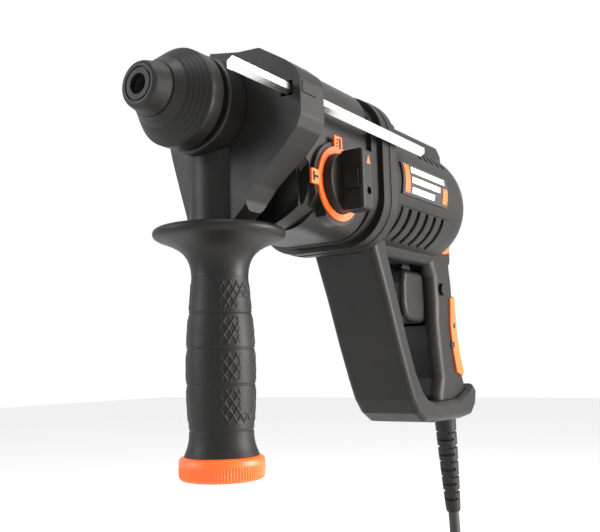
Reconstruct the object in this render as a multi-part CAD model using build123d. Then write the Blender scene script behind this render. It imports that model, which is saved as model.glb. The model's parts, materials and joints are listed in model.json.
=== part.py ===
"""Rotary hammer with a closed rear handle and a clamp-on side handle.

Frame: millimetres, +Z up, the spindle axis is the X axis. The origin is the mouth of
the bit socket, +X runs towards the rear of the tool and -Y is the operator's left,
the side that carries the mode selector.
"""
from build123d import *
import math
import os

os.makedirs("parts", exist_ok=True)

# ---------------- driving dimensions ----------------
SOCKET_R = 5.0           # bit socket for a 10 mm shank
SOCKET_DEPTH = 60.0
NOSE_R = 11.4
SLEEVE_R = 24.5
SLEEVE_TRAVEL = 6.0
NECK_R = 21.5            # clamping neck, 43 mm across
NECK_X0, NECK_X1 = 36.6, 72.0
BOX_X0, BOX_X1 = 78.0, 142.0
BOX_W = 40.0
BOX_TOP, BOX_BOT = 31.0, -59.0
FL_W = 45.5
FL_TOP, FL_BOT = 30.0, -62.5
FL_X0, FL_X1 = 142.0, 169.0
MOTOR_Z = -18.0
MOTOR_R = 41.0
WALL = 2.8
LAY_Y, LAY_Z = 19.4, -22.9   # layshaft axis
HX = 56.5                # side handle axis
ROD_Y, ROD_Z = -49.0, 0.5
DIAL_X, DIAL_Z = 104.0, -35.5
STRUT_W = 23.0
GRIP_W = 17.5

def box(x0, x1, y0, y1, z0, z1):
    return Pos((x0 + x1) / 2, (y0 + y1) / 2, (z0 + z1) / 2) * Box(x1 - x0, y1 - y0, z1 - z0)

def cylx(x0, x1, r, y=0.0, z=0.0):
    return Pos((x0 + x1) / 2, y, z) * Rot(0, 90, 0) * Cylinder(r, x1 - x0)

def cyly(y0, y1, r, x=0.0, z=0.0):
    return Pos(x, (y0 + y1) / 2, z) * Rot(90, 0, 0) * Cylinder(r, y1 - y0)

def cylz(z0, z1, r, x=0.0, y=0.0):
    return Pos(x, y, (z0 + z1) / 2) * Cylinder(r, z1 - z0)

def tubex(x0, x1, ro, ri, y=0.0, z=0.0):
    return cylx(x0, x1, ro, y, z) - cylx(x0 - 1, x1 + 1, ri, y, z)

def revx(pts, y=0.0, z=0.0):
    """Closed outline of (x, r) turned about an axis parallel to X."""
    face = make_face(Polyline(*[(x, r, 0) for x, r in pts], close=True))
    return Pos(0, y, z) * revolve(face, Axis.X, 360)

def revz(pts, x=0.0, y=0.0):
    """Closed outline of (r, z) turned about an axis parallel to Z."""
    face = make_face(Polyline(*[(r, 0, z) for r, z in pts], close=True))
    return Pos(x, y, 0) * revolve(face, Axis.Z, 360)

def section(x, w, top, bot, r):
    """Rounded rectangle across the X axis."""
    h = top - bot
    pl = Plane(origin=(x, 0, (top + bot) / 2), x_dir=(0, 1, 0), z_dir=(1, 0, 0))
    return pl * RectangleRounded(2 * w, h, r)

def prism(x0, x1, w, top, bot, r):
    return extrude(section(x0, w, top, bot, r), amount=x1 - x0)

def plate_xz(pts, y0, y1):
    """Outline in X and Z, thick from y0 to y1."""
    face = make_face(Polyline(*[(x, y0, z) for x, z in pts], close=True))
    return extrude(face, amount=y1 - y0, dir=(0, 1, 0))

def soft(shape, r, pick=None):
    """Fillet the picked edges, with smaller radii if the first doesn't build."""
    edges = pick(shape) if pick else shape.edges()
    for k in (1.0, 0.75, 0.5, 0.3):
        try:
            out = fillet(edges, r * k)
            if out.is_valid and out.volume > 0:
                return out
        except Exception:
            pass
    return shape

def gear(x0, x1, teeth, module, phase, y, z, bore=0.0, share=0.36):
    """Spur gear with straight-sided teeth and generous backlash; phase is a tooth's angle in degrees."""
    rp = teeth * module / 2
    ra, rf = rp + 0.8 * module, rp - 1.15 * module
    pitch = 2 * math.pi / teeth
    pts = []
    for i in range(teeth):
        c = math.radians(phase) + i * pitch
        hb, ht = pitch * (share + 0.12) / 2, pitch * (share - 0.14) / 2
        for a, r in ((c - hb, rf), (c - ht, ra), (c + ht, ra), (c + hb, rf)):
            pts.append((x0, r * math.cos(a), r * math.sin(a)))
    g = extrude(make_face(Polyline(*pts, close=True)), amount=x1 - x0, dir=(1, 0, 0))
    g = Pos(0, y, z) * g
    if bore:
        g = g - cylx(x0 - 1, x1 + 1, bore, y, z)
    return g

def spring(x0, x1, r, wire, y=0.0, z=0.0, n=5):
    """Compression spring: one helical wire."""
    pitch = (x1 - x0 - 2 * wire) / n
    path = Helix(pitch, x1 - x0 - 2 * wire, r)
    start = path @ 0
    coil = sweep(Plane(origin=start, z_dir=path % 0) * Circle(wire), path=path, is_frenet=True)
    return Pos(x0 + wire, y, z) * Rot(0, 90, 0) * coil

def main_solid(s):
    return max(s.solids(), key=lambda q: q.volume)

OUT = {}
def keep(name, shape):
    OUT[name] = shape
    parts = shape.solids()
    export_step(Compound(children=list(parts)) if len(parts) > 1 else parts[0], "parts/%s.step" % name)
    print(name, len(parts), round(sum(p.volume for p in parts)))

# ---------------- spindle group: turns about X ----------------
holder = revx([(3, SOCKET_R), (3, 8.5), (40, 8.5), (40, 12.5), (46, 12.5), (46, 14.5), (118, 14.5), (118, 12.2), (64, 12.2), (64, SOCKET_R)])
ball_slots = box(16.8, 25.2, -9.5, 9.5, -1.8, 1.8)
holder = holder - (ball_slots - cylx(0, 60, SOCKET_R + 0.001))
keep("spindle", holder)
keep("locking_rollers", cylx(17, 25, 1.75, 6.85, 0) + cylx(17, 25, 1.75, -6.85, 0))
nose = revx([(0, SOCKET_R), (0, 9.6), (0.5, 10.8), (1.6, NOSE_R), (9.2, 13.3), (9.2, 9.2), (3.4, 9.2), (3.4, 8.6), (2.6, 8.6), (2.6, SOCKET_R)])
nose = nose - revx([(-1, 7.4), (-1, 8.6), (0.9, 8.2), (0.9, 7.6)])
keep("dust_cap", nose)
keep("chuck_rings", revx([(11.4, 8.55), (11.4, 10.4), (12.9, 10.4), (12.9, 8.55)]) + revx([(27.2, 8.6), (27.2, 15.5), (28.7, 15.5), (28.7, 8.6)]))
keep("chuck_spring", spring(29.2, 39.6, 11.0, 0.75, n=4))
keep("spindle_gear", gear(96, 104, 48, 1.0, math.degrees(math.atan2(LAY_Z, LAY_Y)), 0, 0, bore=14.55) + tubex(95.0, 104.3, 16.95, 14.55))
keep("clutch_flange", revx([(104.6, 14.55), (104.6, 21.0), (108.0, 21.0), (108.0, 14.55)]))
keep("clutch_spring", spring(108.6, 117.6, 17.6, 1.1, n=3))

# ---------------- sliding lock sleeve ----------------
prof = [(9.6, 13.4), (10.1, 14.0), (14.4, 17.1)]
for i in range(5):
    xg, rg = 15.3 + 1.9 * i, 17.9 + 1.42 * i
    prof += [(xg - 0.3, rg - 0.1), (xg, rg - 0.5), (xg + 0.4, rg + 0.05), (xg + 1.1, rg + 0.8)]
prof += [(24.8, 24.25), (26.4, SLEEVE_R), (32.3, SLEEVE_R), (33.3, 23.7), (33.3, 22.4), (26, 21.6), (22.5, 19.0), (22.5, 13.2), (13.6, 12.2), (13.6, 10.9), (9.6, 10.9)]
sleeve = revx(prof)
keep("lock_sleeve", sleeve)

# ---------------- hammer mechanism ----------------
keep("impact_bolt", revx([(64.4, 0.01), (64.4, 4.6), (67, 5.6), (70, 9.0), (76, 9.0), (79, 6.0), (82, 6.0), (82, 0.01)]))
keep("striker", revx([(86, 0.01), (86, 6.0), (89, 10.2), (99, 10.2), (99, 0.01)]))
keep("striker_seal", revx([(94.0, 10.25), (94.0, 11.3), (97.0, 11.3), (97.0, 10.25)]))
piston = revx([(84, 11.6), (84, 12.1), (124, 12.1), (124, 0.01), (119, 0.01), (119, 11.6)])
eye = box(123.5, 138, -6.5, 6.5, -10.5, 4.0) - box(126.5, 135.5, -8, 8, -12, 1.0)
keep("piston", piston + eye)

# ---------------- layshaft group ----------------
lay_phase = math.degrees(math.atan2(-LAY_Z, -LAY_Y))
lay_pinion = gear(92.5, 108, 12, 1.0, lay_phase + 15, LAY_Y, LAY_Z, bore=3.5)
keep("layshaft_pinion", lay_pinion)
keep("layshaft", cylx(83, 146, 3.45, LAY_Y, LAY_Z) + cylx(111, 125.5, 7.6, LAY_Y, LAY_Z))
wob_phase = math.degrees(math.atan2(MOTOR_Z - LAY_Z, -LAY_Y))
keep("layshaft_gear", gear(129.5, 136.5, 32, 1.0, wob_phase, LAY_Y, LAY_Z, bore=3.5))

keep("wobble_bearing", tubex(113.5, 122, 10.8, 7.7, LAY_Y, LAY_Z))
keep("selector_fork", box(88.5, 91.0, -31, -20, -41, -24) + box(88.5, 91.0, -34, -30.5, -41, -30))

# ---------------- gear housing ----------------
neck = cylx(NECK_X0, NECK_X1 + 4, NECK_R) + soft(cylx(NECK_X0, 49.0, 24.9), 1.4, lambda q: q.edges().group_by(Axis.X)[0])
body = prism(BOX_X0, BOX_X1, BOX_W, BOX_TOP, BOX_BOT, 24)
ramp = loft([section(70, 21.2, 21.2, -21.4, 20.5), section(BOX_X0 + 1, BOX_W, BOX_TOP, BOX_BOT, 24)])
ramp2 = extrude(section(66, 21.2, 21.2, -21.4, 20.5), amount=5)
outer = body + ramp + neck + ramp2
rail = box(84, 141.9, -9, 9, 20, 34.0)
rail = soft(rail, 3.0, lambda s: s.edges().filter_by(Axis.X).sort_by(Axis.Z)[-2:])
outer = outer + rail
boss = cyly(-42.2, -36, 22.5, DIAL_X, DIAL_Z)
outer = outer + boss
inner = prism(82, BOX_X1 + 1, 37.0, 26.0, -54.0, 21)
scoop = Pos(70.5, -46, -40) * Rot(0, 0, 38) * Cylinder(17.0, 60, rotation=(90, 0, 0))
scoop = scoop & box(60, 92, -60, -24, -70, -14)
scoop = soft(scoop, 1.0)
bore = cylx(NECK_X0 - 1, 86, 18.6)
gh = outer - inner - bore - (scoop - box(80.5, 120, -60, 0, -80, 0) - box(60, 120, -34.5, 0, -80, 0))
gh = gh - cyly(-45, -30, 8.2, DIAL_X, DIAL_Z)
gh = gh + (cylx(81.5, 84.5, 12.0, LAY_Y, LAY_Z) - cylx(80, 90, 4.0, LAY_Y, LAY_Z))
gh = gh - tubex(66, 91.6, 95, 60.7)
keep("gear_housing", main_solid(gh))
keep("neck_seal", revx([(43.4, 14.7), (43.4, 18.5), (48.0, 18.5), (48.0, 14.7)]))
keep("front_bearing", revx([(50, 14.6), (50, 18.5), (60, 18.5), (60, 14.6)]))
keep("rear_spindle_bearing", revx([(84.8, 14.6), (84.8, 18.0), (92, 18.0), (92, 14.6)]))
# ---------------- bearing plate ----------------
plate = prism(FL_X0 + 0.0, 150, FL_W - 3.0, FL_TOP - 2.5, FL_BOT + 3.0, 27)
plate = plate - cylx(140, 152, 8.0, 0, MOTOR_Z) - cylx(140, 147, 8.6, LAY_Y, LAY_Z)
keep("bearing_plate", plate)
keep("layshaft_bearings", tubex(84.8, 91.5, 9.0, 3.5, LAY_Y, LAY_Z) + tubex(136.8, 146.9, 8.5, 3.5, LAY_Y, LAY_Z))

# ---------------- motor ----------------
keep("armature_shaft", cylx(139, 283, 4.0, 0, MOTOR_Z))
keep("motor_pinion", gear(127, 139, 8, 1.0, wob_phase + 180 + 22.5, 0, MOTOR_Z))
keep("armature_core", tubex(182, 228, 20.0, 4.05, 0, MOTOR_Z))
keep("commutator", tubex(240, 256, 11.5, 4.05, 0, MOTOR_Z))
fan = tubex(160, 163, 33.0, 4.05, 0, MOTOR_Z) + tubex(163, 172, 8.0, 4.05, 0, MOTOR_Z)
for i in range(12):
    fan = fan + Pos(0, 0, MOTOR_Z) * Rot(30 * i, 0, 0) * box(162.5, 169, -0.8, 0.8, 7, 31)
keep("fan", fan)
stator = tubex(182, 228, 36.0, 21.0, 0, MOTOR_Z)
stator = stator - box(180, 230, -40, 40, MOTOR_Z + 31.5, MOTOR_Z + 40) - box(180, 230, -40, 40, MOTOR_Z - 40, MOTOR_Z - 31.5)
keep("field_stator", stator)
keep("armature_bearings", tubex(143, 149, 7.9, 4.05, 0, MOTOR_Z) + tubex(264, 271, 9.5, 4.05, 0, MOTOR_Z))
hold, brush = None, None
for s in (1, -1):
    h = box(242, 254, min(s * 13, s * 30), max(s * 13, s * 30), MOTOR_Z - 6, MOTOR_Z + 6) - box(244, 252, min(s * 12, s * 28), max(s * 12, s * 28), MOTOR_Z - 4, MOTOR_Z + 4)
    b = box(244.1, 251.9, min(s * 11.7, s * 22), max(s * 11.7, s * 22), MOTOR_Z - 3.9, MOTOR_Z + 3.9)
    hold = h if hold is None else hold + h
    brush = b if brush is None else brush + b
keep("brush_holders", hold)
keep("carbon_brushes", brush)

# ---------------- rear housing with closed handle, two shells ----------------
flange = prism(150, FL_X1, FL_W, FL_TOP, FL_BOT, 28)
flange = soft(flange, 3.0, lambda s: s.edges().group_by(Axis.X)[-1])
motor = cylx(150, 268, MOTOR_R, 0, MOTOR_Z)
tail = loft([Plane(origin=(268, 0, MOTOR_Z), x_dir=(0, 1, 0), z_dir=(1, 0, 0)) * Circle(MOTOR_R),
             Plane(origin=(286, 0, MOTOR_Z - 1), x_dir=(0, 1, 0), z_dir=(1, 0, 0)) * Circle(37.0),
             Plane(origin=(299, 0, MOTOR_Z - 4), x_dir=(0, 1, 0), z_dir=(1, 0, 0)) * Circle(26.0)])
motor = motor + tail
spine = plate_xz([(168, 10), (168, 28), (186, 33.0), (300, 34.0), (307, 28), (309, 14), (300, 0), (280, 0)], -13, 13)
spine = soft(spine, 6.0, lambda s: s.edges().filter_by(lambda e: abs(e.center().Y) > 12.9 and e.center().Z > 12))
strut_o = [(172, -40), (176, -60), (190, -89), (203, -119), (214, -142), (221, -155), (229, -164), (240, -170), (256, -171.5),
           (300, -171.5), (318, -170), (326, -163), (329, -152), (323, -147), (314, -152), (296, -157), (256, -157.5), (246, -155), (238, -149),
           (228, -135), (218, -114), (207, -88), (196, -62), (192, -40)]
grip_o = [(262, -40), (266, -62), (271, -70), (272, -88), (271, -101), (273, -120), (277, -142), (272, -154), (272, -164), (318, -165), (327, -154),
          (320, -141), (313, -125), (309, -108), (307.5, -92), (307, -74), (304, -56), (300, -40), (297, -14), (270, -10)]
def edges_side(s, w):
    return s.edges().filter_by(lambda e: abs(abs(e.center().Y) - w) < 0.05)
strut = soft(plate_xz(strut_o, -STRUT_W, STRUT_W), 4.5, lambda s: edges_side(s, STRUT_W))
grip = soft(plate_xz(grip_o, -GRIP_W, GRIP_W), 8.0, lambda s: edges_side(s, GRIP_W))
bridge = box(172, 300, -18, 18, -62, -40)
bridge = soft(bridge, 7.0, lambda s: s.edges().filter_by(Axis.X).sort_by(Axis.Z)[:2])
outer = flange + motor + spine + strut + grip + bridge
inner = cylx(149, 266, MOTOR_R - WALL, 0, MOTOR_Z) + loft([
    Plane(origin=(265.5, 0, MOTOR_Z), x_dir=(0, 1, 0), z_dir=(1, 0, 0)) * Circle(MOTOR_R - WALL),
    Plane(origin=(284, 0, MOTOR_Z - 1), x_dir=(0, 1, 0), z_dir=(1, 0, 0)) * Circle(33.8),
    Plane(origin=(294, 0, MOTOR_Z - 4), x_dir=(0, 1, 0), z_dir=(1, 0, 0)) * Circle(23.0)])
inner_strut = [(181, -62), (194, -90), (207, -119), (218, -141), (225, -154), (232, -161), (241, -167), (256, -168.5), (298, -168.5), (298, -160.5), (255, -160.5), (243, -157.5),
               (235, -150), (225, -135), (215, -114), (204, -88), (193, -62)]
inner_grip = [(268, -50), (270, -62), (275, -70), (275.5, -88), (274.5, -101), (276.5, -120), (280.5, -142), (276, -154), (276, -161), (314, -161), (322, -153),
              (316, -141), (309.5, -125), (305.5, -108), (304, -92), (303.5, -74), (300, -56), (296, -45)]
inner = inner + plate_xz(inner_strut, -STRUT_W + WALL, STRUT_W - WALL) + plate_xz(inner_grip, -GRIP_W + 3.2, GRIP_W - 3.2)
inner = inner + box(196, 296, -14, 14, -58.5, -45)
shell = outer - inner
shell = shell - prism(149, 154.5, FL_W - 3.5, FL_TOP - 3.2, FL_BOT + 3.5, 26)
trig_hole = box(255, 290, -9.3, 9.3, -104.3, -64.3)
shell = shell - trig_hole
shell = shell - box(241, 268, -11.5, 11.5, -64, -44)
shell = shell - Pos(317.6, 0, -168) * Rot(0, -6, 0) * (Cylinder(8.5, 30) + Pos(0, 0, 13) * Cylinder(10.7, 11))
shell = shell - cyly(-20, -10, 4.6, 284, -78)
for k in range(5):
    for s in (1, -1):
        v = box(196.6 + 12 * k, 199.4 + 12 * k, min(s * 30, s * 45), max(s * 30, s * 45), -52, -34)
        shell = shell - v
        v2 = box(222 + 9 * k, 226 + 9 * k, min(s * 22, s * 44), max(s * 22, s * 44), 4, 15)
        shell = shell - v2
# internal ribs: bearing seat, stator rings, screw posts
ribs = (tubex(262, 274, 12.5, 9.55, 0, MOTOR_Z) + (cylx(266, 269, MOTOR_R - 1.5, 0, MOTOR_Z) - cylx(260, 275, 12.0, 0, MOTOR_Z)))
ribs = ribs + (cylx(177, 181.5, MOTOR_R - 1.5, 0, MOTOR_Z) - cylx(170, 185, 33.5, 0, MOTOR_Z)) + (cylx(228.5, 232, MOTOR_R - 1.5, 0, MOTOR_Z) - cylx(225, 235, 33.5, 0, MOTOR_Z))
shell = shell + ribs
POSTS = [(186, -64, STRUT_W, 9), (209.5, -113, STRUT_W, 8), (248, -164, STRUT_W, 8), (290, -146, GRIP_W, 8), (289, -58, GRIP_W, 8)]
for (x, z, w, d) in POSTS:
    shell = shell + (cyly(-w + 1.5, w - 1.5, 3.6, x, z))
    shell = shell - cyly(-w + 6, w + 1, 1.6, x, z) - cyly(w - 4.5, w + 1, 3.3, x, z)
half_l = shell & box(100, 400, -100, 0, -250, 100)
half_r = shell & box(100, 400, 0, 100, -250, 100)
keep("left_housing", main_solid(half_l))
keep("right_housing", main_solid(half_r))
scr = None
for (x, z, w, d) in POSTS:
    s = cyly(w - 4.4, w - 1.4, 3.1, x, z) + cyly(-w + 7.5, w - 4.4, 1.5, x, z)
    s = s - box(x - 2.2, x + 2.2, w - 2.6, w + 1.0, z - 0.4, z + 0.4) - box(x - 0.4, x + 0.4, w - 2.6, w + 1.0, z - 2.2, z + 2.2)
    scr = s if scr is None else scr + s
keep("shell_screws", scr)

# top screw barrels that join gear housing and motor housing
barrels = cylx(186, 244, 6.2, 0, 34.6)
barrels = soft(barrels, 1.6)
barrels = barrels & box(180, 260, -20, 20, 34.05, 60)
keep("top_bumper", barrels)

# ---------------- trims on the sides ----------------
badge_l = (cylx(184, 246, MOTOR_R + 1.3, 0, MOTOR_Z) - cylx(180, 250, MOTOR_R + 0.02, 0, MOTOR_Z)) & box(184, 246, -60, -20, -25.5, -9.5)
badge_r = mirror(badge_l, Plane.XZ)
keep("side_badges", badge_l.solids()[0] + badge_r.solids()[0])

# ---------------- switch group ----------------
trig_o = [(243.5, -66.5), (247, -65.5), (271, -65.5), (274, -66.5), (274, -102.5), (262, -102.5), (250, -101.5), (243, -97.5), (240.5, -88), (241, -75)]
trig = plate_xz(trig_o, -9.0, 9.0)
trig = soft(trig, 4.0, lambda s: s.edges().filter_by(lambda e: abs(abs(e.center().Y) - 9.0) < 0.05 and e.center().X < 262))
trig = trig + cylx(273, 282.6, 2.6, 0, -86)
keep("trigger", trig)
keep("switch_body", box(283, 301, -9, 9, -100, -76) - cylx(282, 292, 3.0, 0, -86))
keep("lock_button", cyly(-19.9, -13.0, 4.3, 284, -78))
lever = plate_xz([(244.5, -64.6), (247.5, -64.9), (254.5, -64.9), (257.5, -64.6), (254.5, -59), (253.5, -46), (248.5, -46), (247.5, -59)], -6.2, 6.2)
lever = lever + box(252, 262, -2.5, 2.5, -57, -49) + cylz(-58, -48, 3.2, 262, 0)
keep("direction_lever", lever)
accent = None
for s in (1, -1):
    a = plate_xz([(262.5, -47.2), (268, -45.0), (296, -45.0), (299, -49.5), (290, -51.5), (268, -51.0)], 0, 0.9)
    a = Pos(0, 18.02 if s > 0 else -18.92, 0) * a
    accent = a if accent is None else accent + a
keep("grip_accents", accent - outer - half_l - half_r)
pad_o = [(296.5, -84), (303.5, -82), (307.8, -92), (309.4, -108), (313.4, -125), (317.5, -136), (312, -141), (303, -138), (298, -122), (295, -104)]
skin = soft(plate_xz([(p[0] + (1.4 if p[0] > 295 else 0), p[1]) for p in grip_o], -GRIP_W - 1.2, GRIP_W + 1.2), 8.5, lambda q: edges_side(q, GRIP_W + 1.2))
g2 = skin & plate_xz(pad_o + [], -19, 19)
g2 = g2 - soft(plate_xz(grip_o, -GRIP_W, GRIP_W), 8.0, lambda q: edges_side(q, GRIP_W)) - outer
print("pad pieces", [round(q.volume) for q in g2.solids()])
keep("grip_pad", Compound(children=[q for q in g2.solids() if q.volume > 50]))

# ---------------- mode selector ----------------
ring = cyly(-43.6, -42.3, 20.0, DIAL_X, DIAL_Z) - cyly(-44, -42, 16.4, DIAL_X, DIAL_Z)
tab1 = box(DIAL_X - 3.8, DIAL_X + 3.8, -43.6, -42.3, DIAL_Z + 18.0, DIAL_Z + 26.0)
tab2 = box(DIAL_X - 26.5, DIAL_X - 18.0, -43.6, -42.3, DIAL_Z - 3.8, DIAL_Z + 3.8)
keep("selector_scale", ring + tab1 + tab2)
knob = cyly(-48.5, -42.6, 15.9, DIAL_X, DIAL_Z)
knob = soft(knob, 1.0, lambda s: s.edges().group_by(Axis.Y)[0])
bar = box(DIAL_X - 5.5, DIAL_X + 5.5, -61.0, -48.5, DIAL_Z - 15.8, DIAL_Z + 15.8)
bar = soft(bar, 1.4, lambda s: s.edges().group_by(Axis.Y)[0])
knob = knob + bar + cyly(-42.7, -33.5, 7.8, DIAL_X, DIAL_Z)
knob = knob - box(DIAL_X - 6, DIAL_X - 2.0, -59, -50.5, DIAL_Z - 5.2, DIAL_Z + 5.2)
knob = knob - cyly(-62, -57, 2.1, DIAL_X + 0.8, DIAL_Z - 6)
keep("selector_knob", knob)
keep("selector_release", box(DIAL_X - 6.6, DIAL_X - 3.6, -58.8, -50.7, DIAL_Z - 5.0, DIAL_Z + 5.0))


# ---------------- side handle clamp ----------------
cx0, cx1 = 49.4, 69.6
out_yz = [(-20, 26), (-33, 25), (-48, 15.5), (-54.5, 10), (-57, 5), (-57, -13), (-54.5, -19), (-47, -27), (-37, -35), (-28.5, -42.5), (-23.5, -50), (-22, -60.5), (14.5, -60.5), (15.5, -54), (20, -40), (25.5, -22), (29, -8), (30, 6), (26, 17), (15, 26), (0, 30)]
face = make_face(Polyline(*[(cx0, y, z) for y, z in out_yz], close=True))
clb = extrude(face, amount=cx1 - cx0, dir=(1, 0, 0))
clb = soft(clb, 4.0, lambda s: s.edges().filter_by(lambda e: e.center().X > cx0 + 1 and e.center().X < cx1 - 1 and e.center().Z > -58 and e.center().Y < -20))
taper = loft([Plane(origin=((cx0 + cx1) / 2, -10, -27)) * Rectangle(cx1 - cx0 + 0.4, 100), Plane(origin=(HX, 0, -61)) * Circle(14.8)])
clb = clb & (taper + box(40, 80, -90, 90, -27.2, 60))
clb = clb + (cylz(-60.5, -20, 14.8, HX, 0) & box(30, cx1, -20, 20, -61, -19))
clb = clb - cylx(30, cx0, 25.3) - cylx(30, cx1 + 5, NECK_R + 0.3)
clb = clb - Pos(0, ROD_Y, ROD_Z) * box(-20, 80, -3.6, 3.6, -3.6, 3.6)
clb = clb - box(40, 80, -1.2, 1.2, 15, 40)
clb = clb - cylz(-70, -20, 4.2, HX, 0)
clb = clb - box(HX - 6, HX + 6, -60, ROD_Y - 3.4, ROD_Z - 3.0, ROD_Z + 3.0)
keep("clamp_bracket", main_solid(clb))
keep("depth_release_button", box(HX - 5.7, HX + 5.7, -57.3, ROD_Y - 4.6, ROD_Z - 2.7, ROD_Z + 2.7))
hexrod = Pos((9 + 193) / 2, ROD_Y, ROD_Z) * Rot(0, 90, 0) * extrude(RegularPolygon(3.35, 6, major_radius=True), amount=92, both=True)
keep("depth_rod", hexrod)

# ---------------- side handle grip: turns about its own axis ----------------
gpts = [(4.6, -61.0), (8, -61.0), (31.5, -61.0), (33.4, -62.2), (33.8, -64.2), (32.5, -65.6), (26, -68.2), (20, -72.0), (16.4, -77.5), (14.6, -84), (14.4, -86), (12.0, -86), (12.0, -173.4), (4.6, -173.4)]
keep("grip_core", revz(gpts, HX, 0))
rp = [(12.05, -86.1), (14.4, -86.1), (15.2, -98), (16.3, -108), (17.0, -120), (17.2, -132), (17.0, -145), (16.4, -156), (16.0, -163.5), (17.2, -169.5), (18.6, -173.3), (12.05, -173.3)]
keep("grip_sleeve", revz(rp, HX, 0))
cap = revz([(4.4, -173.5), (19.4, -173.5), (21.0, -174.8), (21.2, -176.6), (21.2, -183.0), (20.2, -184.4), (18.8, -185.0), (4.4, -185.0)], HX, 0)
keep("grip_end_cap", cap)
keep("clamp_bolt", cylz(-184.0, -24.0, 4.0, HX, 0))

# ---------------- cord set ----------------
GX, GZ = 317.6, -168.0
ang = math.radians(6)
def down(t):
    return (GX + math.sin(ang) * t, 0, GZ - math.cos(ang) * t)
gpl = Plane(origin=(GX, 0, GZ), x_dir=(math.cos(ang), 0, math.sin(ang)), z_dir=(math.sin(ang), 0, -math.cos(ang)))
gp = [(0, -12), (10.4, -12), (10.4, -8.3), (8.3, -8.3), (8.3, 4.0), (7.9, 8), (7.3, 30), (6.2, 60), (5.5, 73), (4.9, 75), (0, 75)]
gf = make_face(Polyline(*[(r, 0, t) for r, t in gp], close=True))
guard = revolve(gf, Axis.Z, 360)
guard = gpl.location * guard
keep("cord_guard", guard)
OUTG = down(75.0)
print("guard end", OUTG)
CORD_R = 4.0
lead_pts = [Vector(*down(75.0)), Vector(*down(101.0)), Vector(329.5, 0, -305.0)]
print("lead", lead_pts)
u = (lead_pts[1] - lead_pts[0]); v = (lead_pts[2] - lead_pts[1])
turn = math.radians(u.get_angle(v))
rad = 0.45 * min(u.length, v.length) / math.tan(turn / 2)
print("cord radius", rad)
path = FilletPolyline(*lead_pts, radius=rad)
tube = sweep(Plane(origin=lead_pts[0], z_dir=u.normalized()) * Circle(CORD_R), path=path)
print("tube volume", tube.volume, math.pi * CORD_R ** 2 * path.length)
keep("cord_lead", tube)
COIL_R, COIL_HALF = 44.0, 16.0
COIL_C = (285.5, 0.0, -345.0)
coil = Pos(*COIL_C) * Rot(90, 0, 0) * (Cylinder(COIL_R + COIL_HALF, 2 * COIL_HALF) - Cylinder(COIL_R - COIL_HALF, 60))
coil = soft(coil, 6.0)
tie = Pos(COIL_C[0] - COIL_R, 0, COIL_C[2]) * (box(-19, 19, -19, 19, -5, 5) - box(-17.2, 17.2, -17.2, 17.2, -6, 6))
keep("cord_coil", coil)
keep("cord_tie", tie)
PX, PY, PZ = COIL_C[0] + COIL_R, 0.0, COIL_C[2] - 6
plug = Pos(COIL_C[0] + COIL_R + COIL_HALF, 0, 0) * (box(0.0, 24, -16, 16, PZ - 17, PZ + 17))
plug = soft(plug, 6.0, lambda q: q.edges().filter_by(Axis.Z))
pins = None
for s_ in (1, -1):
    pn = cylz(PZ - 36, PZ - 16, 2.4, COIL_C[0] + COIL_R + COIL_HALF + 12, s_ * 9.5)
    pins = pn if pins is None else pins + pn
keep("mains_plug", plug + pins)
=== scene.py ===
import bpy, json, math
from mathutils import Vector, Matrix


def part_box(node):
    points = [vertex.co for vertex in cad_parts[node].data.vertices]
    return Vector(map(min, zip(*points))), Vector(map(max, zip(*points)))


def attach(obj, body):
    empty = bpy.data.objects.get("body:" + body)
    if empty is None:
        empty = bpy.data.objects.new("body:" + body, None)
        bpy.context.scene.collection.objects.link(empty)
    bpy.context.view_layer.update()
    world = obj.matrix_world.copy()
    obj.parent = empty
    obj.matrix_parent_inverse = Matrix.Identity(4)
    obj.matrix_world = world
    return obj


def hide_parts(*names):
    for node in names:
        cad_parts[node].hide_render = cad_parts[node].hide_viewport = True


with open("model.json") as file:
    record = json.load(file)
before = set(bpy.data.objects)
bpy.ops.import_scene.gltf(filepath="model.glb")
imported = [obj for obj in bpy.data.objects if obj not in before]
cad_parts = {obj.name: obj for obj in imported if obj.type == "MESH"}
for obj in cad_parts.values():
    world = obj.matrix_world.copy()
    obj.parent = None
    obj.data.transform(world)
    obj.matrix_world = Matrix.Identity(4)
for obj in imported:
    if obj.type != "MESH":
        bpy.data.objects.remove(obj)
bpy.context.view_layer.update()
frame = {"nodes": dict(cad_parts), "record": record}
N = frame["nodes"]
MM = 0.001

# ------------------------------------------------------------------ camera
cam_data = bpy.data.cameras.new("cam")
cam_data.sensor_width = 36.0
cam_data.sensor_fit = "HORIZONTAL"
cam_data.lens = 47.19
cam_data.clip_start = 0.01
cam_data.clip_end = 50.0
cam = bpy.data.objects.new("cam", cam_data)
bpy.context.scene.collection.objects.link(cam)
R_ = Vector((0.56964, -0.82152, -0.02505)); D_ = Vector((0.09014, 0.09273, -0.99160)); F_ = Vector((0.81694, 0.56259, 0.12687))
rot = Matrix((R_, -D_, -F_)).transposed().to_4x4()
cam.matrix_world = Matrix.Translation((-0.24578, -0.257518, -0.131292)) @ rot
bpy.context.scene.camera = cam

# ------------------------------------------------------------------ helpers
def link(ob):
    bpy.context.scene.collection.objects.link(ob)
    return ob

def mesh_obj(name, verts, faces, mat=None, sharp=35.0, mats=None, fmat=None):
    me = bpy.data.meshes.new(name)
    me.from_pydata([tuple(v) for v in verts], [], faces)
    me.validate()
    me.update()
    for m in (mats or ([mat] if mat else [])):
        me.materials.append(m)
    if fmat:
        for i, p in enumerate(me.polygons):
            p.material_index = fmat[i]
    me.polygons.foreach_set("use_smooth", [True] * len(me.polygons))
    me.set_sharp_from_angle(angle=math.radians(sharp))
    ob = link(bpy.data.objects.new(name, me))
    return ob

def piece(ob, body, slot_name, *nodes):
    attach(ob, body)
    if nodes:
        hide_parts(*nodes)
    return ob

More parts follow.
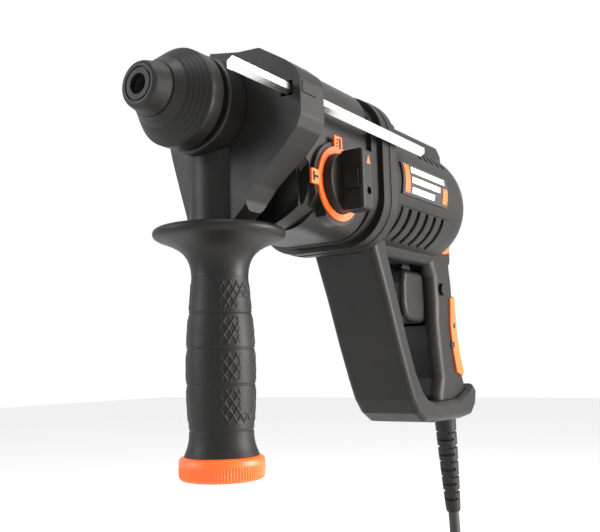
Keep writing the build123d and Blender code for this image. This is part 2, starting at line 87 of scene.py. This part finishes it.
def grid_block(fn, nu, nv, closed_u=False):
    """Closed slab from fn(u, v, side): side 0 is the inner skin, 1 the outer one."""
    verts, faces = [], []
    def idx(s, i, j):
        return s * nu * nv + i * nv + j
    for s in (0, 1):
        for i in range(nu):
            for j in range(nv):
                verts.append(fn(i / (nu if closed_u else nu - 1), j / (nv - 1), s))
    iu = range(nu) if closed_u else range(nu - 1)
    for i in iu:
        k = (i + 1) % nu
        for j in range(nv - 1):
            faces.append((idx(1, i, j), idx(1, k, j), idx(1, k, j + 1), idx(1, i, j + 1)))
            faces.append((idx(0, i, j + 1), idx(0, k, j + 1), idx(0, k, j), idx(0, i, j)))
        faces.append((idx(0, i, 0), idx(0, k, 0), idx(1, k, 0), idx(1, i, 0)))
        faces.append((idx(1, i, nv - 1), idx(1, k, nv - 1), idx(0, k, nv - 1), idx(0, i, nv - 1)))
    if not closed_u:
        for j in range(nv - 1):
            faces.append((idx(0, 0, j + 1), idx(0, 0, j), idx(1, 0, j), idx(1, 0, j + 1)))
            faces.append((idx(0, nu - 1, j), idx(0, nu - 1, j + 1), idx(1, nu - 1, j + 1), idx(1, nu - 1, j)))
    return verts, faces

def fix_normals(ob):
    import bmesh
    bm = bmesh.new()
    bm.from_mesh(ob.data)
    bmesh.ops.recalc_face_normals(bm, faces=bm.faces)
    bm.to_mesh(ob.data)
    bm.free()
    return ob

def lathe(name, prof, nt, frame_m, mat, radial=None, sharp=35.0, closed=True):
    """Turned piece about the local Z of frame_m; prof is a closed loop of (r, t) in mm, radial(theta, r, t) gives the local radius."""
    verts, faces = [], []
    n = len(prof)
    for i in range(nt):
        th = 2 * math.pi * i / nt
        for (r, t) in prof:
            rr = radial(th, r, t) if radial else r
            verts.append(frame_m @ Vector((rr * math.cos(th) * MM, rr * math.sin(th) * MM, t * MM)))
    for i in range(nt):
        k = (i + 1) % nt
        for j in range(n if closed else n - 1):
            m = (j + 1) % n
            faces.append((i * n + j, k * n + j, k * n + m, i * n + m))
    return fix_normals(mesh_obj(name, verts, faces, mat, sharp))

def slab(name, pts, y0, y1, mat, bevel=0.0):
    """Prism of the (x, z) outline between two y values, mm, with a small bevel."""
    n = len(pts)
    verts = [Vector((x * MM, y0 * MM, z * MM)) for x, z in pts] + [Vector((x * MM, y1 * MM, z * MM)) for x, z in pts]
    faces = [tuple(range(n)), tuple(range(2 * n - 1, n - 1, -1))]
    for i in range(n):
        k = (i + 1) % n
        faces.append((i, k, n + k, n + i))
    ob = fix_normals(mesh_obj(name, verts, faces, mat, 30))
    if bevel:
        b = ob.modifiers.new("bevel", "BEVEL")
        b.width = bevel * MM
        b.segments = 3
        b.limit_method = "ANGLE"
    return ob

def cyl_patch(name, x0, x1, z0, z1, r0, r1, side, mat, axis_z=-18.0, skew=0.0, bow=0.0, nu=10, nv=14):
    """Slab wrapped on the motor tube: x0..x1 along, z0..z1 up, radius r0..r1, side -1 left, +1 right."""
    def fn(u, v, s):
        r = r1 if s else r0
        z = z0 + (z1 - z0) * v
        x = x0 + (x1 - x0) * u + skew * (v - 0.5) + bow * (4 * v * (1 - v))
        a = math.asin(max(-1, min(1, (z - axis_z) / r1)))
        return Vector((x * MM, side * r * math.cos(a) * MM, (axis_z + r * math.sin(a)) * MM))
    v, f = grid_block(fn, nu, nv)
    return fix_normals(mesh_obj(name, v, f, mat, 30))

# ------------------------------------------------------------------ materials
def new_mat(name):
    m = bpy.data.materials.new(name)
    m.use_nodes = True
    nt = m.node_tree
    return m, nt, nt.nodes["Principled BSDF"]

def nd(nt, kind, **kw):
    n = nt.nodes.new(kind)
    for k, v in kw.items():
        setattr(n, k, v)
    return n

def plastic(name, base, rough, grain=1800.0, bump=0.06, dist=0.00008, spec=0.4, var=0.25, wear=0.0, cell=False):
    m, nt, b = new_mat(name)
    L = nt.links
    tc = nd(nt, "ShaderNodeTexCoord")
    n1 = nd(nt, "ShaderNodeTexNoise"); n1.inputs["Scale"].default_value = 26.0; n1.inputs["Detail"].default_value = 6.0
    L.new(tc.outputs["Object"], n1.inputs["Vector"])
    cr = nd(nt, "ShaderNodeValToRGB")
    cr.color_ramp.elements[0].position = 0.3; cr.color_ramp.elements[1].position = 0.72
    cr.color_ramp.elements[0].color = (*[c * (1 - var) for c in base], 1)
    cr.color_ramp.elements[1].color = (*[min(1, c * (1 + var)) for c in base], 1)
    L.new(n1.outputs["Fac"], cr.inputs["Fac"])
    L.new(cr.outputs["Color"], b.inputs["Base Color"])
    n2 = nd(nt, "ShaderNodeTexVoronoi" if cell else "ShaderNodeTexNoise"); n2.inputs["Scale"].default_value = grain
    L.new(tc.outputs["Object"], n2.inputs["Vector"])
    out2 = n2.outputs["Distance"] if cell else n2.outputs["Fac"]
    mr = nd(nt, "ShaderNodeMapRange")
    mr.inputs["To Min"].default_value = rough - 0.07; mr.inputs["To Max"].default_value = rough + 0.09
    n3 = nd(nt, "ShaderNodeTexNoise"); n3.inputs["Scale"].default_value = 90.0; n3.inputs["Detail"].default_value = 4.0
    L.new(tc.outputs["Object"], n3.inputs["Vector"])
    L.new(n3.outputs["Fac"], mr.inputs["Value"])
    L.new(mr.outputs["Result"], b.inputs["Roughness"])
    bp = nd(nt, "ShaderNodeBump"); bp.inputs["Strength"].default_value = bump * 6; bp.inputs["Distance"].default_value = dist
    L.new(out2, bp.inputs["Height"]); L.new(bp.outputs["Normal"], b.inputs["Normal"])
    b.inputs["Specular IOR Level"].default_value = spec
    return m

def steel(name, base, rough, axis=0, metallic=1.0, lines=2600.0):
    m, nt, b = new_mat(name)
    L = nt.links
    tc = nd(nt, "ShaderNodeTexCoord")
    mp = nd(nt, "ShaderNodeMapping")
    sc = [lines, lines, lines]; sc[axis] = 30.0
    mp.inputs["Scale"].default_value = sc
    L.new(tc.outputs["Object"], mp.inputs["Vector"])
    n = nd(nt, "ShaderNodeTexNoise"); n.inputs["Scale"].default_value = 1.0; n.inputs["Detail"].default_value = 3.0
    L.new(mp.outputs["Vector"], n.inputs["Vector"])
    mr = nd(nt, "ShaderNodeMapRange"); mr.inputs["To Min"].default_value = rough - 0.06; mr.inputs["To Max"].default_value = rough + 0.1
    L.new(n.outputs["Fac"], mr.inputs["Value"]); L.new(mr.outputs["Result"], b.inputs["Roughness"])
    n1 = nd(nt, "ShaderNodeTexNoise"); n1.inputs["Scale"].default_value = 60.0
    L.new(tc.outputs["Object"], n1.inputs["Vector"])
    cr = nd(nt, "ShaderNodeValToRGB")
    cr.color_ramp.elements[0].color = (*[c * 0.86 for c in base], 1); cr.color_ramp.elements[1].color = (*base, 1)
    L.new(n1.outputs["Fac"], cr.inputs["Fac"]); L.new(cr.outputs["Color"], b.inputs["Base Color"])
    bp = nd(nt, "ShaderNodeBump"); bp.inputs["Strength"].default_value = 0.15; bp.inputs["Distance"].default_value = 0.00004
    L.new(n.outputs["Fac"], bp.inputs["Height"]); L.new(bp.outputs["Normal"], b.inputs["Normal"])
    b.inputs["Metallic"].default_value = metallic
    return m

DARK = plastic("dark_plastic", (0.0080, 0.0074, 0.0071), 0.43, 1500, 0.05, spec=0.20)
CASE = plastic("gear_case", (0.0098, 0.0091, 0.0087), 0.40, 1300, 0.06, spec=0.24)
RUB = plastic("black_rubber", (0.0085, 0.0079, 0.0076), 0.48, 2200, 0.07, spec=0.20, cell=True)
ORANGE = plastic("orange_plastic", (0.70, 0.100, 0.006), 0.42, 1500, 0.04, spec=0.45, var=0.06)
BADGE = plastic("badge_plastic", (0.012, 0.012, 0.0122), 0.34, 900, 0.02, spec=0.5)
PALE = plastic("badge_pale", (0.62, 0.61, 0.60), 0.40, 900, 0.02, spec=0.45, var=0.05)
SEAM = plastic("seam_shadow", (0.004, 0.004, 0.004), 0.7, 900, 0.02, spec=0.2)
BRIGHT = steel("bright_steel", (0.62, 0.62, 0.61), 0.26, 0)
STEEL = steel("steel", (0.42, 0.42, 0.43), 0.34, 0)
COPPER = steel("copper", (0.72, 0.36, 0.20), 0.36, 1)
JACKET = plastic("cord_jacket", (0.012, 0.012, 0.012), 0.52, 1200, 0.05, spec=0.4)
STRAP = plastic("tie_strap", (0.03, 0.03, 0.031), 0.8, 900, 0.3, spec=0.2, cell=True)
SLOTMAT = {"dark_plastic": DARK, "gear_case": CASE, "black_rubber": RUB, "orange_plastic": ORANGE, "badge_plastic": BADGE,
           "bright_steel": BRIGHT, "steel": STEEL, "copper": COPPER, "cord_jacket": JACKET, "tie_strap": STRAP}
for sp in frame["record"]["subparts"]:
    ob = N[sp["node"]]
    m = SLOTMAT[sp["material_slot"]]
    if not ob.material_slots:
        ob.data.materials.append(m)
    for s in ob.material_slots:
        s.material = m
for s in N["grip_pad"].material_slots:
    s.material = ORANGE

# ------------------------------------------------------------------ mains lead, wound up below the tool
CX, CZ = 285.5, -345.0
pts = [(325.44, 0, -242.59), (326.9, 0.0, -256.0), (328.2, 0.6, -269.0), (329.2, 2.6, -281.0), (330.2, 5.8, -293.0), (331.2, 8.9, -305.0), (330.8, 11.0, -318.0), (330.0, 12.3, -331.0)]
S = 8.5
slots = [(44.0, 1.5 * S), (44 - S, 1.5 * S), (44 - S, 0.5 * S), (44.0, 0.5 * S), (44 + S, 0.5 * S), (44 + S, -0.5 * S), (44.0, -0.5 * S),
         (44 - S, -0.5 * S), (44 - S, -1.5 * S), (44.0, -1.5 * S), (44 + S, -1.5 * S)]
STEP = 15.0
TR = 60.0
ang = 0.0
k = 0
seg_end = -(360.0 - TR)
a = -8.0
total_slots = len(slots)
while True:
    # position inside the present turn
    if a > seg_end:
        R, Y = slots[k]
    else:
        t = (seg_end - a) / TR
        t = t * t * (3 - 2 * t)
        nxt = slots[min(k + 1, total_slots - 1)]
        R = slots[k][0] + (nxt[0] - slots[k][0]) * t
        Y = slots[k][1] + (nxt[1] - slots[k][1]) * t
    wob = 0.35 * math.sin(math.radians(a) * 0.83 + k)
    pts.append((CX + (R + wob) * math.cos(math.radians(a)), Y, CZ + (R + wob) * math.sin(math.radians(a))))
    a -= STEP
    if a <= seg_end - TR and k < total_slots - 1:
        k += 1
        seg_end -= (360.0 - TR) + 0.0
        seg_end += 0.0
    if k == total_slots - 1 and (a % 360.0) < 95.0 and (a % 360.0) >= 80.0:
        break
pts += [(300.0, -13.0, -290.4), (316.0, -12.6, -292.6), (333.0, -11.0, -296.5), (347.0, -8.0, -304.0), (355.5, -4.0, -316.0), (357.5, -1.0, -328.0), (357.5, 0.0, -336.0)]
cu = bpy.data.curves.new("mains_lead", "CURVE")
cu.dimensions = "3D"
sp_ = cu.splines.new("NURBS")
sp_.points.add(len(pts) - 1)
for i, p in enumerate(pts):
    sp_.points[i].co = (p[0] * MM, p[1] * MM, p[2] * MM, 1)
sp_.order_u = 3
sp_.use_endpoint_u = True
cu.resolution_u = 6
cu.bevel_depth = 0.0040
cu.bevel_resolution = 5
cu.use_fill_caps = True
cu.materials.append(JACKET)
lead = link(bpy.data.objects.new("mains_lead", cu))
CORD_LEN = sum((Vector(pts[i + 1]) - Vector(pts[i])).length for i in range(len(pts) - 1)) * MM
piece(lead, "housing", "cord_jacket", "cord_lead", "cord_coil")

# strap round the coil
def strap_fn(u, v, s):
    a = 2 * math.pi * u
    n = 4.0
    w = 17.4 if s else 16.2
    c, d = math.cos(a), math.sin(a)
    q = (abs(c) ** n + abs(d) ** n) ** (-1 / n)
    x, y = w * q * c, w * q * d
    return Vector(((CX - 44 + x) * MM, y * MM, (CZ - 5.5 + 11 * v) * MM))
v_, f_ = grid_block(strap_fn, 64, 5, True)
tie = fix_normals(mesh_obj("coil_strap", v_, f_, STRAP, 40))
piece(tie, "housing", "tie_strap", "cord_tie")

# ------------------------------------------------------------------ side grip, knurled
hx = (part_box("grip_core")[0].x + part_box("grip_core")[1].x) / 2
GM = Matrix.Translation((hx, 0, 0))
key = [(-86.1, 14.4), (-92, 14.75), (-98, 15.2), (-108, 16.2), (-120, 16.95), (-132, 17.2), (-145, 17.0), (-154, 16.5), (-161, 16.05), (-165.5, 16.2), (-169.5, 17.1), (-173.3, 18.6)]
def rad_at(z):
    for i in range(len(key) - 1):
        z0, r0 = key[i]; z1, r1 = key[i + 1]
        if z1 <= z <= z0:
            t = (z0 - z) / (z0 - z1)
            m0 = (key[min(i + 1, len(key) - 1)][1] - key[max(i - 1, 0)][1]) / (key[max(i - 1, 0)][0] - key[min(i + 1, len(key) - 1)][0]) * (z0 - z1)
            m1 = (key[min(i + 2, len(key) - 1)][1] - key[i][1]) / (key[i][0] - key[min(i + 2, len(key) - 1)][0]) * (z0 - z1)
            return (2 * t ** 3 - 3 * t * t + 1) * r0 + (t ** 3 - 2 * t * t + t) * m0 + (-2 * t ** 3 + 3 * t * t) * r1 + (t ** 3 - t * t) * m1
    return key[-1][1]
SEAMS = (-104.0, -121.6, -139.2, -161.2)
def knurl(th, r, z):
    if r < 13:
        return r
    d = 0.0
    for s in SEAMS:
        d -= 0.42 * math.exp(-((z - s) / 0.42) ** 2)
    deg = math.degrees(th) % 180.0          # both sides alike: strip at 90 (and 270)
    off = abs(deg - 90.0)
    full = z > -96.5 or z < -153.0
    lo = 0.0 if full else 16.5
    if off < 52 and off > lo - 0.5 and -157.5 < z < -88.5:
        near = min(abs(z - s) for s in SEAMS)
        edge = min((52 - off) / 3.0, 1.0 if full else max(0.0, (off - lo) / 2.0), (near - 1.9) / 0.7, (-88.5 - z) / 1.0, (z + 157.5) / 1.0)
        edge = max(0.0, min(1.0, edge))
        if edge > 0:
            arc = math.radians(deg - 90.0) * 16.5
            u, v = arc / 4.3, z / 6.4
            fa = abs(((u + v) % 1.0) - 0.5) * 2; fb = abs(((u - v) % 1.0) - 0.5) * 2
            ridge = max(fa, fb)                     # 1 on a ridge line
            h = max(0.0, (ridge - 0.66) / 0.34)
            h = h * h * (3 - 2 * h)
            d += edge * (-0.16 + 0.50 * h)
    return r + d
nz = 250
prof = [(12.05, -173.3), (12.05, -86.1)] + [(rad_at(-86.1 - 87.2 * i / nz), -86.1 - 87.2 * i / nz) for i in range(nz + 1)]
grip = lathe("grip_sleeve_knurled", prof, 420, GM, RUB, knurl, sharp=60)
piece(grip, "side_grip", "black_rubber", "grip_sleeve")

# flared hub of the side grip
hub_pts = [(12.0, -86.0), (14.4, -86.0), (14.45, -84.5), (14.7, -82.0), (15.3, -79.2), (16.4, -76.5), (18.2, -73.9), (20.8, -71.6), (24.2, -69.6), (28.0, -68.0), (31.2, -66.8), (32.9, -65.8), (33.6, -64.8), (33.8, -63.8), (33.6, -62.8), (33.0, -62.0), (31.9, -61.4), (30.0, -61.05), (8.0, -61.0), (4.6, -61.0), (4.6, -173.4), (12.0, -173.4)]
hub = lathe("grip_hub", hub_pts, 128, GM, DARK, sharp=32)
piece(hub, "side_grip", "dark_plastic", "grip_core")

# end cap with fine ribs on the lower rim
def capr(th, r, t):
    if r > 20.3 and t < -177.9:
        return r - 0.42 * (0.5 + 0.5 * math.cos(th * 88)) ** 0.7
    return r
capp = [(r, t + 2.6 if t > -184 else t + 3.0) for r, t in ((4.4, -188.0), (4.4, -176.1), (17.0, -176.1), (18.9, -176.15), (20.0, -176.5), (20.7, -177.1), (21.05, -178.0), (21.2, -179.2), (21.2, -180.2), (21.2, -180.6), (21.2, -184.6), (21.1, -185.6), (20.8, -186.6), (20.2, -187.3), (19.2, -187.8), (16.0, -188.0))]
cap = lathe("end_cap_ribbed", capp, 704, GM, ORANGE, capr, sharp=50)
piece(cap, "side_grip", "orange_plastic", "grip_end_cap")

# ------------------------------------------------------------------ cord guard with flex slots
a6 = math.radians(6)
GMX = Matrix(((math.cos(a6), 0, math.sin(a6), 0.3176), (0, 1, 0, 0), (math.sin(a6), 0, -math.cos(a6), -0.168), (0, 0, 0, 1)))
gk = [(8.3, 4.0), (7.9, 8), (7.3, 30), (6.2, 60), (5.5, 73)]
def gr(t):
    for i in range(len(gk) - 1):
        if gk[i][1] <= t <= gk[i + 1][1]:
            w = (t - gk[i][1]) / (gk[i + 1][1] - gk[i][1])
            return gk[i][0] + (gk[i + 1][0] - gk[i][0]) * w
    return gk[-1][0]
gprof = [(4.1, 75.0), (4.1, -12.0), (10.4, -12.0), (10.4, -8.4), (8.3, -8.3), (8.3, 4.0)]
t = 5.0
while t < 72.0:
    gprof.append((gr(t), t))
    t += 0.6
gprof += [(5.5, 73.0), (5.3, 74.3), (4.9, 75.0)]
def guard_r(th, r, t):
    if 12 < t < 70 and r > 5:
        ph = (t - 12) / 5.6
        band = int(ph); fr = ph - band
        shift = 0 if band % 2 == 0 else math.pi / 2
        open_ = abs(math.sin(th + shift)) > 0.45
        if open_ and 0.36 < fr < 0.64:
            return r - 1.25
    return r
guard = lathe("cord_guard_slotted", gprof, 64, GMX, RUB, guard_r, sharp=30)
piece(guard, "housing", "black_rubber", "cord_guard")

# ------------------------------------------------------------------ badges: plain generic strip
plates = []
for side, tag in ((-1, "l"), (1, "r")):
    pl = cyl_patch("badge_plate_" + tag, 182, 248, -27.0, -6.0, 41.02, 42.3, side, BADGE, nu=24)
    b = pl.modifiers.new("bevel", "BEVEL"); b.width = 0.0004; b.segments = 2; b.limit_method = "ANGLE"
    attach(pl, "housing")
    plates.append(pl)
    o1 = cyl_patch("badge_block_" + tag, 184, 190.5, -25.4, -7.6, 42.2, 42.7, side, ORANGE, nu=5)
    piece(o1, "housing", "orange_plastic")
    for q, (xa, xb, za, zb) in enumerate(((193.5, 243, -11.8, -7.9), (193.5, 234.5, -18.4, -14.5), (193.5, 226, -25.0, -21.1))):
        s1 = cyl_patch("badge_line_%s%d" % (tag, q), xa, xb, za, zb, 42.2, 42.6, side, PALE, nu=12, nv=4, skew=0.8)
        piece(s1, "housing", "badge_plastic")
    o2 = cyl_patch("badge_end_" + tag, 238.5, 245.5, -25.0, -14.5, 42.2, 42.7, side, ORANGE, nu=5, skew=1.5)
    piece(o2, "housing", "orange_plastic")
    # step line under the badge and bowed fins over the vents
    ln = cyl_patch("body_step_" + tag, 171, 262, -33.2, -31.6, 40.9, 41.9, side, DARK, nu=30, nv=4)
    piece(ln, "housing", "dark_plastic")
    for q in range(6):
        x = 186.8 + 12 * q
        fn_ = cyl_patch("fin_%s%d" % (tag, q), x, x + 8.0, -53.5, -34.2, 40.8, 42.3, side, DARK, nu=6, nv=18, bow=1.6)
        bb = fn_.modifiers.new("bevel", "BEVEL"); bb.width = 0.0014; bb.segments = 3; bb.limit_method = "ANGLE"
        piece(fn_, "housing", "dark_plastic")
for pl in plates:
    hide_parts("side_badges")

# ------------------------------------------------------------------ selector marks
def tri(name, cx, cz, h, y0, y1, mat, body, slot_name):
    ob = slab(name, [(cx - 0.42 * h, cz - 0.5 * h), (cx + 0.42 * h, cz - 0.5 * h), (cx, cz + 0.5 * h)], y0, y1, mat)
    return piece(ob, body, slot_name)
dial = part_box("selector_scale")
DX, DZ = 104.0, -35.5
tri("bar_pointer", DX + 0.6, DZ + 10.6, 4.6, -61.25, -60.9, ORANGE, "selector", "orange_plastic")
mk = slab("mark_hammer_a", [(DX - 25.4, DZ - 2.4), (DX - 24.0, DZ - 2.4), (DX - 24.0, DZ + 2.4), (DX - 25.4, DZ + 2.4)], -43.78, -43.5, SEAM); piece(mk, "housing", "dark_plastic")
mk = slab("mark_hammer_b", [(DX - 24.1, DZ - 0.6), (DX - 20.6, DZ - 0.6), (DX - 20.6, DZ + 0.6), (DX - 24.1, DZ + 0.6)], -43.78, -43.5, SEAM); piece(mk, "housing", "dark_plastic")
for q in range(3):
    z = DZ + 19.6 + 1.7 * q
    mk = slab("mark_drill_%d" % q, [(DX - 2.6, z), (DX - 0.3, z + 0.9), (DX - 0.3, z + 1.6), (DX - 2.6, z + 0.7)], -43.78, -43.5, SEAM); piece(mk, "housing", "dark_plastic")
mk = slab("mark_drill_bar", [(DX + 0.7, DZ + 19.4), (DX + 2.2, DZ + 19.4), (DX + 2.2, DZ + 25.0), (DX + 0.7, DZ + 25.0)], -43.78, -43.5, SEAM); piece(mk, "housing", "dark_plastic")

# ------------------------------------------------------------------ seam lines, raised rails and fasteners
def rrect_ring(name, x0, x1, w, top, bot, rad, out0, out1, mat, body="housing", nseg=14):
    """Closed band that follows a rounded rectangle section (half width w, top, bot), from x0 to x1."""
    loop = []
    for cy, cz, a0 in ((w - rad, top - rad, 0), (-(w - rad), top - rad, 90), (-(w - rad), bot + rad, 180), (w - rad, bot + rad, 270)):
        for i in range(nseg + 1):
            a_ = math.radians(a0 + 90.0 * i / nseg)
            loop.append((cy, cz, math.cos(a_), math.sin(a_)))
    def fn(u, v, s):
        cy, cz, c, d = loop[int(round(u * len(loop))) % len(loop)]
        r = rad + (out1 if s else out0)
        return Vector(((x0 + (x1 - x0) * v) * MM, (cy + r * c) * MM, (cz + r * d) * MM))
    v, f = grid_block(fn, len(loop), 3, True)
    return fix_normals(mesh_obj(name, v, f, mat, 40))
ring1 = rrect_ring("flange_seam", 156.7, 157.3, 45.5, 30.0, -62.5, 28.0, -0.4, 0.06, SEAM)
piece(ring1, "housing", "dark_plastic")
ring2 = rrect_ring("flange_lip", 158.2, 165.5, 45.5, 30.0, -62.5, 28.0, -0.6, 0.45, DARK)
bb = ring2.modifiers.new("bevel", "BEVEL"); bb.width = 0.0003; bb.segments = 2; bb.limit_method = "ANGLE"
piece(ring2, "housing", "dark_plastic")
# two low rails along the top of the gear case with screw caps between them
for q, (xa, xb, yy) in enumerate(((86, 140, -6.2), (86, 140, 6.2))):
    rl = slab("top_rail_%d" % q, [(xa, 33.6), (xb, 33.6), (xb, 34.9), (xb - 2, 35.4), (xa + 4, 35.4), (xa, 34.4)], yy - 1.5, yy + 1.5, CASE, 0.5)
    piece(rl, "housing", "gear_case")
for q in range(4):
    M_ = Matrix.Translation((0.096 + 0.0125 * q, 0, 0.0))
    sc = lathe("top_cap_%d" % q, [(0.6, 33.7), (3.1, 33.7), (3.1, 35.0), (2.7, 35.4), (1.7, 35.4), (1.5, 34.6), (0.6, 34.6)], 40, M_, DARK)
    piece(sc, "housing", "dark_plastic")
# faint ring on the nose cone
rg = lathe("nose_ring", [(13.62, 9.75), (14.15, 9.75), (14.5, 10.3), (14.15, 10.3)], 96, Matrix(((0, 0, 1, 0), (0, 1, 0, 0), (-1, 0, 0, 0), (0, 0, 0, 1))), DARK)
piece(rg, "sleeve", "dark_plastic")
# small raised buttons on the left cheek of the rear grip
for q, (bx, bz) in enumerate(((301.0, -104.0), (298.5, -118.0))):
    M_ = Matrix(((1, 0, 0, bx * MM), (0, 0, -1, 0), (0, 1, 0, bz * MM), (0, 0, 0, 1)))
    bt = lathe("cheek_button_%d" % q, [(0.3, 16.8), (3.4, 16.8), (3.4, 18.0), (3.0, 18.5), (2.2, 18.7), (0.3, 18.8)], 48, M_, DARK)
    piece(bt, "housing", "dark_plastic")

# ------------------------------------------------------------------ stage and light
bpy.ops.mesh.primitive_plane_add(size=12, location=(0.15, 0, -0.43))
floor = bpy.context.object
floor.name = "floor"
fm, fnt, fb = new_mat("floor_pale")
fb.inputs["Base Color"].default_value = (0.86, 0.86, 0.86, 1)
fb.inputs["Roughness"].default_value = 0.9
floor.data.materials.append(fm)
w = bpy.data.worlds.new("soft") if not bpy.data.worlds else bpy.data.worlds[0]
bpy.context.scene.world = w
w.use_nodes = True
bg = w.node_tree.nodes["Background"]
bg.inputs["Color"].default_value = (1, 1, 1, 1)
bg.inputs["Strength"].default_value = 1.0
bpy.context.scene.view_settings.view_transform = "Standard"
bpy.context.scene.view_settings.look = "None"
def area(name, loc, tgt, size, power, col=(1, 1, 1)):
    ld = bpy.data.lights.new(name, "AREA")
    ld.shape = "RECTANGLE"; ld.size = size[0]; ld.size_y = size[1]; ld.energy = power; ld.color = col
    ob = link(bpy.data.objects.new(name, ld))
    ob.location = loc
    d = (Vector(tgt) - Vector(loc)).normalized()
    ob.rotation_euler = d.to_track_quat("-Z", "Y").to_euler()
    return ob
area("key", (0.75, -1.15, 0.05), (0.12, 0, -0.05), (0.6, 0.9), 42, (1.0, 0.97, 0.94))
area("edge", (-0.9, 0.9, 0.3), (0.1, 0, -0.05), (0.5, 0.9), 12)
area("top", (0.1, -0.3, 1.3), (0.15, 0, 0), (1.0, 0.5), 14)
